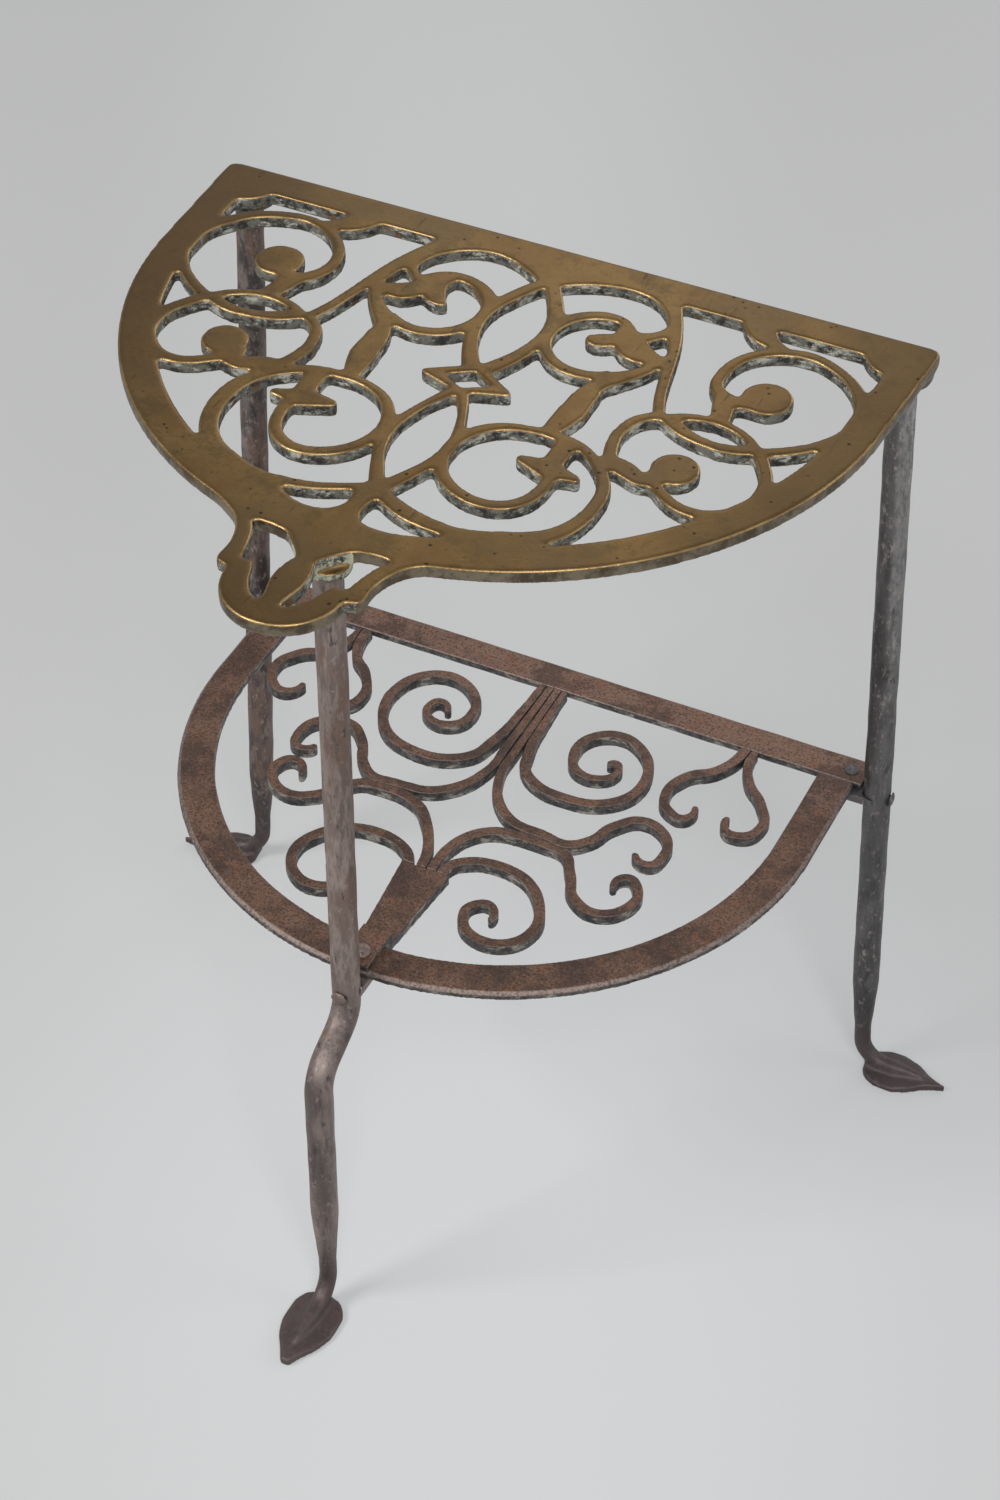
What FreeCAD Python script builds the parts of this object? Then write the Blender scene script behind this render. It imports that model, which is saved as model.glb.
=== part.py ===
"""A hearth trivet: a pierced brass top on three wrought-iron legs, with a scrolled iron shelf.

Millimetres. Z is up and the floor is z = 0. The straight edge of the top is at the back (+Y),
the handle points to the front (-Y), and the origin is under the middle of the whole piece.
"""
import FreeCAD
import Part
import math
import os
from FreeCAD import Vector

# The brass top
top_height = 353.0
top_half_width = 140.0
side_run = 48.5
side_flare = 2.3
corner_radius = 4.0
plate_thickness = 5.1
back_bar_width = 13.3
rim_width = 13.3
corner_pad_radius = 14.0
handle_half_width = 26.2
handle_reach = 44.1
handle_offset = 3.5
loop_radius = 21.0
strap_width = 5.0
upper_blob_radius = 9.1
lower_blob_radius = 8.5
upper_ring_radius = 17.9
boss_drop = 4.0
side_boss_margin = 5.0
front_boss_margin = 2.5

# The legs
leg_diameter = 11.4
hammer_flats = 12
side_leg_inset = 11.4
side_leg_setback = 7.8
side_leg_splay = 12.5
front_leg_advance = 1.3
front_leg_crank = 23.5
crank_start_drop = 12.0
crank_height = 12.0
crank_bend_radius = 14.0
tenon_diameter = 7.0
tenon_length = 6.5
tenon_clearance = 0.1
neck_diameter = 7.6
neck_taper = 26.0
neck_length = 20.0
ankle_radius = 12.0
ankle_level = 4.5
toe_reach = 15.0
rib_length = 13.0
rib_tip_diameter = 1.6
foot_length = 35.0
foot_heel_offset = 2.0
side_foot_width = 21.0
front_foot_width = 22.0
foot_thickness = 4.0
foot_edge_thickness = 2.6

# The iron shelf
shelf_height = 155.0
shelf_back_overhang = 3.0
shelf_back_bar_width = 13.5
shelf_rim_width = 14.8
shelf_rim_setback = 2.8
shelf_strip_thickness = 3.6
shelf_rim_chamfer = 1.6
scroll_bar_width = 4.8
scroll_bar_height = 4.8
stem_width = 20.0
stem_end_width = 12.0
stem_lap_run = 5.0
stem_lap_rise = 3.0

# The lugs and rivets
lug_thickness = 3.5
lug_width = 12.0
lug_reach = 13.0
lug_peg_diameter = 3.4
peg_head_diameter = 6.6
peg_head_height = 1.0
rivet_setback = 6.5
rivet_diameter = 4.0
rivet_head_diameter = 7.0
rivet_head_height = 0.8
dome_head_diameter = 8.0
dome_head_height = 2.2
cutter_overrun = 1.0

# Places along a piece, as shares of its length
stem_start_share = 0.681
stem_end_share = 1.0

# Places that follow from the sizes above
arc_radius = top_half_width - side_flare
body_depth = side_run + arc_radius
front_leg_place = body_depth + front_leg_advance
plate_bottom = top_height - plate_thickness
boss_bottom = plate_bottom - boss_drop
leg_radius = leg_diameter / 2
side_leg_x = top_half_width - side_leg_inset
leg_lean = side_leg_splay / boss_bottom
shelf_leg_x = side_leg_x + leg_lean * (boss_bottom - shelf_height)
shelf_half_width = shelf_leg_x - leg_radius
shelf_front = front_leg_place - leg_radius
lug_level = shelf_height - shelf_strip_thickness - lug_thickness / 2
foot_front = front_leg_place + front_leg_crank + foot_heel_offset + foot_length
middle_depth = (foot_front - shelf_back_overhang) / 2


# Plane curves

def unit(v):
    return v * (1 / v.Length)


def left_of(v):
    return Vector(-v.y, v.x, 0)


def tangent_at(before, here, after):
    """Heading at the middle one of three points of a circle."""
    a = here - before
    b = after - here
    return unit(a * (b.Length / a.Length) + b * (a.Length / b.Length))


def mirrored_heading(heading, chord):
    """Heading at the other end of an arc, mirrored across the chord's middle."""
    c = unit(chord)
    return c * (2 * heading.dot(c)) - heading


def arc_middle(start, heading, end):
    """Middle point of the arc that leaves the start along the heading."""
    chord = end - start
    angle = math.atan2(left_of(chord).dot(heading), chord.dot(heading))
    return start + chord * 0.5 + left_of(chord) * (math.tan(angle / 2) / 2)


def joint_of_two_arcs(start, heading, end, end_heading):
    """Point where two arcs meet that together join two headings smoothly."""
    chord = end - start
    total = heading + end_heading
    spread = 2 * (1 - heading.dot(end_heading))
    along = chord.dot(total)
    if spread < 1e-6:
        reach = chord.dot(chord) / (2 * along)
    else:
        reach = (math.sqrt(along * along + spread * chord.dot(chord)) - along) / spread
    return (start + end + (heading - end_heading) * reach) * 0.5


def smooth_arcs(points):
    """Arcs (start, middle, end) that pass smoothly through the points."""
    if len(points) == 2:
        return [(points[0], (points[0] + points[1]) * 0.5, points[1])]
    inner = [tangent_at(*three) for three in zip(points, points[1:], points[2:])]
    first = mirrored_heading(inner[0], points[1] - points[0])
    last = mirrored_heading(inner[-1], points[-1] - points[-2])
    headings = [first] + inner + [last]
    arcs = []
    for start, heading, end, end_heading in zip(points, headings, points[1:], headings[1:]):
        joint = joint_of_two_arcs(start, heading, end, end_heading)
        arcs.append((start, arc_middle(start, heading, joint), joint))
        arcs.append((joint, arc_middle(end, end_heading * -1, joint), end))
    return arcs


def edge_of(start, middle, end):
    """An arc through three points, or a line where they are in line."""
    chord = end - start
    bulge = abs(left_of(unit(chord)).dot(middle - start))
    if bulge < 1e-4 * chord.Length:
        return Part.LineSegment(start, end).toShape()
    return Part.Arc(start, middle, end).toShape()


def face_of(edges):
    return Part.Face(Part.Wire(edges))


def outline(runs):
    """A face inside smooth runs of points that meet at corners."""
    edges = []
    for run in runs:
        edges += [edge_of(*arc) for arc in smooth_arcs(run)]
    return face_of(edges)


def polygon(points):
    return Part.Face(Part.makePolygon(list(points) + [points[0]]))


def disc(centre, radius, normal=Vector(0, 0, 1)):
    return face_of([Part.Circle(centre, normal, radius).toShape()])


def width_at(share, widths):
    """Width at a share of the length, between the widths given as (share, width)."""
    for (s0, w0), (s1, w1) in zip(widths, widths[1:]):
        if share <= s1:
            return w0 + (w1 - w0) * (share - s0) / (s1 - s0)
    return widths[-1][1]


def arc_length(arc):
    return edge_of(*arc).Length


def normals_of(arc):
    """Left normals at the start, middle and end of an arc."""
    start, middle, end = arc
    at_middle = left_of(unit(end - start))
    c = unit(middle - start)
    heading = c * (2 * c.dot(unit(end - start))) - unit(end - start)
    at_start = left_of(unit(heading))
    at_end = left_of(mirrored_heading(unit(heading), end - start))
    return at_start, at_middle, at_end


def band(points, widths, round_start=False, round_end=False):
    """A face that follows smooth arcs through the points, with the widths along it."""
    arcs = smooth_arcs(points)
    lengths = [arc_length(a) for a in arcs]
    total = sum(lengths)
    left = []
    right = []
    done = 0.0
    for arc, length in zip(arcs, lengths):
        marks = (done, done + length / 2, done + length)
        halves = [width_at(m / total, widths) / 2 for m in marks]
        normals = normals_of(arc)
        left.append([p + n * h for p, n, h in zip(arc, normals, halves)])
        right.append([p - n * h for p, n, h in zip(arc, normals, halves)])
        done += length
    for side in (left, right):
        for one, two in zip(side, side[1:]):
            two[0] = one[2]
    edges = [edge_of(*s) for s in left]
    edges.append(end_cap(left[-1][2], right[-1][2], round_end))
    edges += [edge_of(s[2], s[1], s[0]) for s in reversed(right)]
    edges.append(end_cap(right[0][0], left[0][0], round_start))
    return face_of(edges)


def end_cap(one, other, rounded):
    """A straight end across a band, or a round one."""
    if not rounded:
        return Part.LineSegment(one, other).toShape()
    across = other - one
    return Part.Arc(one, one + across * 0.5 + left_of(across) * 0.5, other).toShape()


def widths_of(size, shares):
    return tuple((s, size * w) for s, w in shares)


def mirror_x(shape):
    return shape.mirror(Vector(0, 0, 0), Vector(1, 0, 0))


def both_sides(shapes):
    return list(shapes) + [mirror_x(s) for s in shapes]


def mirrored_points(points):
    return [Vector(-p.x, p.y, p.z) for p in points]


def joined(shapes):
    return single(shapes[0].fuse(list(shapes[1:])).removeSplitter())


def single(shape):
    """The only solid of a shape, or the shape itself where it holds more."""
    return shape.Solids[0] if len(shape.Solids) == 1 else shape


def trimmed(shape, others):
    """The shape without what the other pieces take up."""
    for other in others:
        for solid in other.Solids:
            shape = shape.cut(solid)
    return single(shape)


def raised(face, bottom, height):
    """A solid that stands on the face at the given level."""
    solid = face.extrude(Vector(0, 0, height))
    solid.translate(Vector(0, 0, bottom))
    return solid


# The brass top, drawn strap by strap

def top_places(shares):
    """Places on the top, as shares of its half width and of its depth from the back edge."""
    return [Vector(x * top_half_width, -y * body_depth, 0) for x, y in shares]


def top_band(line_shares, width_shares, **ends):
    return band(top_places(line_shares), widths_of(strap_width, width_shares), **ends)


def top_outline(run_shares):
    return outline([top_places(run) for run in run_shares])


def sided(right, left):
    """Faces of the right side, with those of the left side, which are drawn mirrored."""
    return list(right) + [mirror_x(face) for face in left]


def body_face():
    """The straight back edge, the long sides and the half circle at the front."""
    corner = Vector(top_half_width, 0, 0)
    centre = Vector(0, -side_run, 0)
    gap = corner - centre
    turn = math.atan2(gap.y, gap.x) - math.acos(arc_radius / gap.Length)
    touch = centre + Vector(math.cos(turn), math.sin(turn), 0) * arc_radius
    front = centre - Vector(0, arc_radius, 0)
    left_corner, left_touch = mirrored_points([corner, touch])
    edges = [
        Part.LineSegment(left_corner, corner).toShape(),
        Part.LineSegment(corner, touch).toShape(),
        Part.Arc(touch, front, left_touch).toShape(),
        Part.LineSegment(left_touch, left_corner).toShape(),
    ]
    return face_of(edges).makeOffset2D(-corner_radius).makeOffset2D(corner_radius)


def frame_faces(body):
    """The rim with the back bar, and the pads over the side legs."""
    start = Vector(-top_half_width, -back_bar_width, 0)
    back_bar = Part.makePlane(2 * top_half_width, back_bar_width, start)
    opening = body.makeOffset2D(-rim_width).cut(back_bar)
    pad = disc(Vector(side_leg_x, -side_leg_setback, 0), corner_pad_radius).common(body)
    return [body.cut(opening), pad, mirror_x(pad)]


def middle_lenses():
    """The two pointed loops on the middle line, each of two bowed straps."""
    back_shares = (
        (0.009, 0.107), (0.051, 0.161), (0.081, 0.22), (0.086, 0.279), (0.071, 0.338),
        (0.043, 0.387), (0.007, 0.43),
    )
    back_width_shares = ((0, 1.5), (0.25, 1.4), (0.5, 1), (0.75, 1.15), (1, 1.4))
    front_shares = (
        (0.007, 0.497), (0.044, 0.55), (0.066, 0.596), (0.081, 0.65), (0.07, 0.709),
        (0.044, 0.757), (0.007, 0.811),
    )
    front_width_shares = ((0, 1), (0.2, 0.7), (0.35, 0.8), (0.5, 1), (0.75, 0.95), (1, 1.2))
    crossing_share = (0, 0.814)
    knot = disc(top_places([crossing_share])[0], strap_width)
    return [top_band(back_shares, back_width_shares), top_band(front_shares, front_width_shares), knot]


def lozenge():
    """The four-sided boss between the two loops, with its own opening."""
    outer_shares = ((0, 0.407), (0.111, 0.459), (0.124, 0.469), (0.111, 0.477), (0.021, 0.499), (0, 0.51))
    inner_shares = ((0, 0.433), (0.061, 0.462), (0, 0.488))
    outer = top_places(outer_shares)
    inner = top_places(inner_shares)
    whole = polygon(outer + mirrored_points(outer[1:-1])[::-1])
    return whole.cut(polygon(inner + mirrored_points(inner[1:-1])[::-1]))


def outer_strap():
    """The long strap from the back bar to the side lens."""
    strap_shares = (
        (0.304, 0.048), (0.336, 0.097), (0.368, 0.15), (0.395, 0.204), (0.411, 0.247),
        (0.431, 0.311), (0.449, 0.36), (0.475, 0.408),
    )
    width_shares = ((0, 1.2), (0.2, 1.2), (0.35, 1.15), (0.55, 0.95), (0.8, 0.9), (1, 0.9))
    return [top_band(strap_shares, width_shares)]


def upper_rings():
    """The ring beside the middle loop on each side."""
    right_centre_share = (0.221, 0.259)
    left_centre_share = (0.216, 0.264)
    half_band = strap_width / 2
    rings = []
    for centre in top_places([right_centre_share, left_centre_share]):
        inside = disc(centre, upper_ring_radius - half_band)
        rings.append(disc(centre, upper_ring_radius + half_band).cut(inside))
    return sided(rings[:1], rings[1:])


def upper_leaves():
    """The leaf inside each upper ring, and the web that ties ring, leaf and long strap together."""
    right_leaf_shares = (
        ((0.237, 0.164), (0.237, 0.214)),
        (
            (0.237, 0.214), (0.2, 0.227), (0.18, 0.243), (0.193, 0.259), (0.225, 0.263),
            (0.259, 0.245),
        ),
        ((0.259, 0.245), (0.277, 0.263), (0.309, 0.276), (0.364, 0.274)),
        ((0.364, 0.274), (0.35, 0.204), (0.237, 0.164)),
    )
    left_leaf_shares = (
        ((0.203, 0.166), (0.221, 0.204), (0.211, 0.231), (0.188, 0.259)),
        ((0.188, 0.259), (0.2, 0.27), (0.225, 0.271), (0.246, 0.265), (0.264, 0.253)),
        ((0.264, 0.253), (0.282, 0.271), (0.314, 0.284), (0.359, 0.281)),
        ((0.359, 0.281), (0.343, 0.215), (0.203, 0.166)),
    )
    web_shares = (
        ((0.236, 0.164), (0.307, 0.048)),
        ((0.307, 0.048), (0.389, 0.15)),
        ((0.389, 0.15), (0.421, 0.247)),
        ((0.421, 0.247), (0.403, 0.274)),
        ((0.403, 0.274), (0.379, 0.302), (0.35, 0.328)),
        ((0.35, 0.328), (0.332, 0.309)),
        ((0.332, 0.309), (0.257, 0.242)),
        ((0.257, 0.242), (0.236, 0.164)),
    )
    web = top_outline(web_shares)
    return sided([top_outline(right_leaf_shares), web], [top_outline(left_leaf_shares), web])


def back_web():
    """The web between the back bar, the upper rings and the middle loop."""
    web_shares = (
        ((0, 0.043), (0.314, 0.043)),
        ((0.314, 0.043), (0.329, 0.177)),
        ((0.329, 0.177), (0.314, 0.196)),
        ((0.314, 0.196), (0.271, 0.173), (0.218, 0.162), (0.157, 0.172), (0.107, 0.201)),
        ((0.107, 0.201), (0.079, 0.204)),
        ((0.079, 0.204), (0.043, 0.156), (0, 0.129)),
        ((0, 0.129), (0, 0.043)),
    )
    return [top_outline(web_shares)]


def back_openings():
    """The crescent behind each upper ring, the small gap beside it and the ring's pointed end."""
    right_crescent_shares = (
        (
            (0.034, 0.114), (0.093, 0.088), (0.157, 0.072), (0.214, 0.069), (0.271, 0.08),
            (0.318, 0.11), (0.343, 0.148),
        ),
        ((0.343, 0.148), (0.331, 0.17), (0.289, 0.187)),
        ((0.289, 0.187), (0.254, 0.161), (0.207, 0.151), (0.15, 0.163), (0.098, 0.198)),
        ((0.098, 0.198), (0.068, 0.156), (0.034, 0.114)),
    )
    left_crescent_shares = (
        (
            (0.032, 0.116), (0.071, 0.096), (0.129, 0.075), (0.179, 0.069), (0.229, 0.076),
            (0.282, 0.101), (0.318, 0.134), (0.329, 0.161),
        ),
        ((0.329, 0.161), (0.324, 0.179), (0.302, 0.193)),
        (
            (0.302, 0.193), (0.268, 0.168), (0.221, 0.155), (0.171, 0.159), (0.129, 0.173),
            (0.088, 0.198),
        ),
        ((0.088, 0.198), (0.063, 0.155), (0.032, 0.116)),
    )
    right_gap_shares = (
        ((0.361, 0.182), (0.381, 0.209), (0.391, 0.243)),
        ((0.391, 0.243), (0.357, 0.227), (0.326, 0.208)),
        ((0.326, 0.208), (0.346, 0.197), (0.361, 0.182)),
    )
    left_gap_shares = (
        ((0.359, 0.186), (0.371, 0.218), (0.376, 0.248)),
        ((0.376, 0.248), (0.346, 0.238), (0.313, 0.222)),
        ((0.313, 0.222), (0.336, 0.202), (0.359, 0.186)),
    )
    right_end_shares = (
        ((0.271, 0.259), (0.309, 0.276), (0.364, 0.274)),
        ((0.364, 0.274), (0.338, 0.302), (0.293, 0.325)),
        ((0.293, 0.325), (0.271, 0.259)),
    )
    left_end_shares = (
        ((0.275, 0.266), (0.314, 0.284), (0.357, 0.281)),
        ((0.357, 0.281), (0.331, 0.307), (0.287, 0.332)),
        ((0.287, 0.332), (0.275, 0.266)),
    )
    right = (right_crescent_shares, right_gap_shares, right_end_shares)
    left = (left_crescent_shares, left_gap_shares, left_end_shares)
    return sided([top_outline(runs) for runs in right], [top_outline(runs) for runs in left])


def bulb_bar():
    """The bowed bar with a swollen middle, between the upper and the lower ring."""
    bar_shares = (
        (0.368, 0.285), (0.329, 0.336), (0.295, 0.371), (0.283, 0.414), (0.281, 0.467),
        (0.273, 0.505), (0.261, 0.548),
    )
    width_shares = ((0, 1.5), (0.2, 1.2), (0.36, 1.25), (0.48, 1.75), (0.7, 2.1), (0.87, 1.7), (1, 1))
    return [top_band(bar_shares, width_shares)]


def lower_scrolls():
    """The open C scroll at the front on each side, with its crossed end."""
    right_line_shares = (
        (0.343, 0.559), (0.286, 0.547), (0.221, 0.548), (0.164, 0.56), (0.121, 0.583),
        (0.089, 0.62), (0.078, 0.661), (0.09, 0.706), (0.124, 0.744), (0.179, 0.77),
        (0.236, 0.779), (0.293, 0.767), (0.331, 0.736), (0.345, 0.693), (0.343, 0.65),
    )
    left_line_shares = (
        (0.329, 0.553), (0.264, 0.547), (0.2, 0.556), (0.143, 0.582), (0.109, 0.62),
        (0.097, 0.663), (0.109, 0.706), (0.138, 0.741), (0.186, 0.768), (0.243, 0.779),
        (0.296, 0.766), (0.333, 0.735), (0.348, 0.695), (0.346, 0.65),
    )
    line_width_shares = ((0, 0.75), (0.16, 0.8), (0.3, 1), (1, 1))
    right_stalk_shares = ((0.324, 0.548), (0.325, 0.602), (0.324, 0.655))
    left_stalk_shares = ((0.343, 0.548), (0.339, 0.602), (0.331, 0.655))
    stalk_width_shares = ((0, 1.6), (0.5, 1.6), (1, 1.7))
    cross_shares = ((0.254, 0.633), (0.325, 0.639), (0.399, 0.646))
    cross_width_shares = ((0, 0.85), (0.25, 1.5), (0.5, 2.1), (0.75, 1.3), (1, 0.8))
    cross = top_band(cross_shares, cross_width_shares, round_start=True, round_end=True)
    right = top_band(right_line_shares, line_width_shares)
    left = top_band(left_line_shares, line_width_shares)
    right_stalk = top_band(right_stalk_shares, stalk_width_shares)
    left_stalk = top_band(left_stalk_shares, stalk_width_shares)
    return sided([right, right_stalk, cross], [left, left_stalk, cross])


def front_rings():
    """The large loop round each C scroll, which runs into the rim and the middle line."""
    right_line_shares = (
        (0.271, 0.547), (0.35, 0.553), (0.425, 0.593), (0.473, 0.647), (0.483, 0.714),
        (0.45, 0.795), (0.371, 0.849), (0.271, 0.873), (0.179, 0.871), (0.086, 0.852),
        (0, 0.816),
    )
    right_width_shares = ((0, 0.85), (0.2, 0.95), (0.35, 1.1), (0.5, 1.35), (0.62, 2), (0.75, 1.2), (1, 1))
    left_line_shares = (
        (0.271, 0.548), (0.35, 0.553), (0.414, 0.576), (0.463, 0.61), (0.493, 0.65),
        (0.503, 0.698), (0.497, 0.744), (0.474, 0.789), (0.429, 0.83), (0.357, 0.86),
        (0.271, 0.878), (0.207, 0.875), (0.143, 0.866), (0.071, 0.843), (0, 0.812),
    )
    left_width_shares = ((0, 0.85), (0.2, 1.1), (0.3, 1.35), (0.6, 1.45), (0.75, 1.2), (1, 0.9))
    right = top_band(right_line_shares, right_width_shares)
    left = top_band(left_line_shares, left_width_shares)
    return sided([right], [left])


def front_web():
    """The web between the front loops, the rim and the handle."""
    web_shares = (
        ((0, 0.816), (0.086, 0.851), (0.179, 0.87), (0.286, 0.875)),
        ((0.286, 0.875), (0.3, 0.94)),
        ((0.3, 0.94), (0, 0.956)),
        ((0, 0.956), (0, 0.816)),
    )
    return [top_outline(web_shares)]


def front_openings():
    """The round-ended gap on each side of the bar that runs to the handle."""
    right_shares = (
        ((0.014, 0.847), (0.057, 0.866), (0.107, 0.881), (0.164, 0.888), (0.229, 0.891)),
        ((0.229, 0.891), (0.171, 0.909), (0.114, 0.921), (0.064, 0.924), (0.029, 0.918)),
        ((0.029, 0.918), (0.011, 0.9), (0.009, 0.87), (0.014, 0.847)),
    )
    left_shares = (
        ((0.05, 0.843), (0.107, 0.864), (0.157, 0.878), (0.207, 0.885)),
        ((0.207, 0.885), (0.171, 0.905), (0.121, 0.915), (0.079, 0.911)),
        ((0.079, 0.911), (0.05, 0.892), (0.041, 0.865), (0.05, 0.843)),
    )
    return sided([top_outline(right_shares)], [top_outline(left_shares)])


def side_scrolls():
    """The C scroll beside the rim on each side, which curls in to a round end."""
    right_line_shares = (
        (0.914, 0.274), (0.903, 0.228), (0.859, 0.177), (0.796, 0.14), (0.718, 0.12),
        (0.636, 0.133), (0.571, 0.175), (0.546, 0.231), (0.561, 0.29), (0.614, 0.311),
        (0.671, 0.301),
    )
    left_line_shares = (
        (0.914, 0.274), (0.903, 0.228), (0.863, 0.182), (0.811, 0.146), (0.743, 0.124),
        (0.682, 0.118), (0.621, 0.132), (0.568, 0.164), (0.538, 0.201), (0.531, 0.239),
        (0.543, 0.274), (0.579, 0.303), (0.643, 0.295),
    )
    width_shares = ((0, 1.3), (0.15, 1.1), (0.25, 0.9), (0.6, 0.9), (0.8, 1), (0.9, 1.2), (1, 1.2))
    right_eye_share = (0.683, 0.278)
    left_eye_share = (0.661, 0.267)
    right_eye, left_eye = top_places([right_eye_share, left_eye_share])
    right = [top_band(right_line_shares, width_shares), disc(right_eye, upper_blob_radius)]
    left = [top_band(left_line_shares, width_shares), disc(left_eye, upper_blob_radius)]
    return sided(right, left)


def side_ties():
    """What holds each side scroll: its foot on the back bar, its stem and its tail along the rim."""
    stub_shares = (
        ((0.5, 0.054), (0.531, 0.102), (0.604, 0.129)),
        ((0.604, 0.129), (0.65, 0.112)),
        ((0.65, 0.112), (0.618, 0.094), (0.593, 0.054)),
        ((0.593, 0.054), (0.5, 0.054)),
    )
    stem_shares = (
        ((0.554, 0.295), (0.571, 0.338), (0.591, 0.381)),
        ((0.591, 0.381), (0.643, 0.381)),
        ((0.643, 0.381), (0.634, 0.349), (0.625, 0.311)),
        ((0.625, 0.311), (0.554, 0.295)),
    )
    tail_shares = ((0.914, 0.274), (0.903, 0.325), (0.864, 0.368), (0.807, 0.407), (0.743, 0.435))
    tail_width_shares = ((0, 1.3), (0.3, 1.2), (0.5, 0.95), (1, 1))
    return [top_outline(stub_shares), top_outline(stem_shares), top_band(tail_shares, tail_width_shares)]


def side_lens():
    """The leaf-shaped loop that lies across the middle of the side."""
    outer_shares = (
        ((0.471, 0.411), (0.529, 0.382), (0.607, 0.371), (0.693, 0.388), (0.761, 0.432)),
        ((0.761, 0.432), (0.693, 0.459), (0.607, 0.46), (0.521, 0.44), (0.471, 0.411)),
    )
    inner_shares = (
        ((0.533, 0.406), (0.621, 0.391), (0.711, 0.424)),
        ((0.711, 0.424), (0.621, 0.436), (0.533, 0.406)),
    )
    return [top_outline(outer_shares).cut(top_outline(inner_shares))]


def lower_strap():
    """The bowed strap from the side lens down to the front loop, and the leaf at its foot."""
    strap_shares = ((0.486, 0.408), (0.439, 0.433), (0.417, 0.483), (0.426, 0.537), (0.454, 0.583))
    strap_width_shares = ((0, 0.9), (0.5, 0.95), (1, 1.1))
    leaf_shares = (
        ((0.421, 0.559), (0.471, 0.555), (0.532, 0.576)),
        ((0.532, 0.576), (0.575, 0.6)),
        ((0.575, 0.6), (0.541, 0.615), (0.493, 0.606), (0.446, 0.591)),
        ((0.446, 0.591), (0.421, 0.559)),
    )
    return [top_band(strap_shares, strap_width_shares), top_outline(leaf_shares)]


def lower_loops():
    """The strap that loops from the side lens along the rim to the leaf, with a round end inside."""
    right_line_shares = (
        (0.739, 0.427), (0.776, 0.465), (0.802, 0.502), (0.811, 0.542), (0.804, 0.58),
        (0.779, 0.612), (0.741, 0.635), (0.693, 0.644), (0.643, 0.636), (0.604, 0.618),
        (0.568, 0.593),
    )
    left_line_shares = (
        (0.739, 0.427), (0.779, 0.465), (0.806, 0.502), (0.813, 0.542), (0.803, 0.577),
        (0.774, 0.608), (0.736, 0.63), (0.693, 0.637), (0.65, 0.628), (0.611, 0.608),
        (0.579, 0.588),
    )
    line_width_shares = ((0, 1), (0.2, 1), (0.5, 1.1), (0.8, 0.95), (1, 0.9))
    neck_shares = (
        ((0.541, 0.548), (0.539, 0.573)),
        ((0.539, 0.573), (0.531, 0.583), (0.571, 0.61)),
        ((0.571, 0.61), (0.583, 0.594), (0.613, 0.583)),
        ((0.613, 0.583), (0.541, 0.548)),
    )
    right_eye_share = (0.595, 0.544)
    left_eye_share = (0.614, 0.542)
    right_eye, left_eye = top_places([right_eye_share, left_eye_share])
    neck = top_outline(neck_shares)
    right = [top_band(right_line_shares, line_width_shares), disc(right_eye, lower_blob_radius), neck]
    left = [top_band(left_line_shares, line_width_shares), disc(left_eye, lower_blob_radius), neck]
    return sided(right, left)


def handle_places(shares):
    """Places on the handle, as shares of its half width and of its reach from the rim."""
    return [Vector(x * handle_half_width, -body_depth - y * handle_reach, 0) for x, y in shares]


def off_centre(face):
    """The face moved to the handle's own middle line, a little left of the top's."""
    moved = face.copy()
    moved.translate(Vector(-handle_offset, 0, 0))
    return moved


def handle_faces():
    """The neck, the shouldered sides and the round loop of the handle."""
    neck_shares = ((1.756, -0.209), (1.431, -0.111), (1.168, 0.018), (1.038, 0.177), (1, 0.358))
    shoulder_shares = ((1, 0.358), (1.011, 0.435), (0.962, 0.499))
    step_shares = ((0.962, 0.499), (0.794, 0.526))
    right = [handle_places(run) for run in (neck_shares, shoulder_shares, step_shares)]
    left = [mirrored_points(run)[::-1] for run in reversed(right)]
    bottom = [right[-1][-1], left[0][0]]
    back = [left[-1][-1], right[0][0]]
    blade = outline(right + [bottom] + left + [back])
    loop_centre = Vector(0, loop_radius - body_depth - handle_reach, 0)
    return [off_centre(blade), off_centre(disc(loop_centre, loop_radius))]


def handle_openings():
    """The two openings of the handle, with the leaf-shaped bar between them."""
    right_shares = (
        ((0.13, 0.213), (0.305, 0.082), (0.477, -0.009), (0.668, -0.036), (0.969, -0.036)),
        ((0.969, -0.036), (0.84, 0.093), (0.771, 0.229), (0.718, 0.385)),
        ((0.718, 0.385), (0.557, 0.385)),
        ((0.557, 0.385), (0.485, 0.485), (0.405, 0.612), (0.282, 0.712), (0.137, 0.762)),
        (
            (0.137, 0.762), (0.164, 0.653), (0.214, 0.528), (0.221, 0.404), (0.187, 0.295),
            (0.13, 0.213),
        ),
    )
    right = outline([handle_places(run) for run in right_shares])
    return [off_centre(right), off_centre(mirror_x(right))]


def top_face():
    """The whole pierced plate in plan."""
    alike = middle_lenses() + outer_strap() + bulb_bar() + side_ties() + side_lens() + lower_strap()
    alike += back_web() + front_web()
    faces = frame_faces(body_face()) + [lozenge()] + both_sides(alike) + handle_faces()
    faces += upper_rings() + upper_leaves() + lower_scrolls() + front_rings()
    faces += side_scrolls() + lower_loops()
    openings = back_openings() + front_openings() + handle_openings()
    return joined(faces).cut(openings)


def boss(place, radius, inside):
    """The thickening of the casting round a leg, drawn inside the outline of the top."""
    return raised(disc(place, radius).common(inside), boss_bottom, boss_drop)


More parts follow.
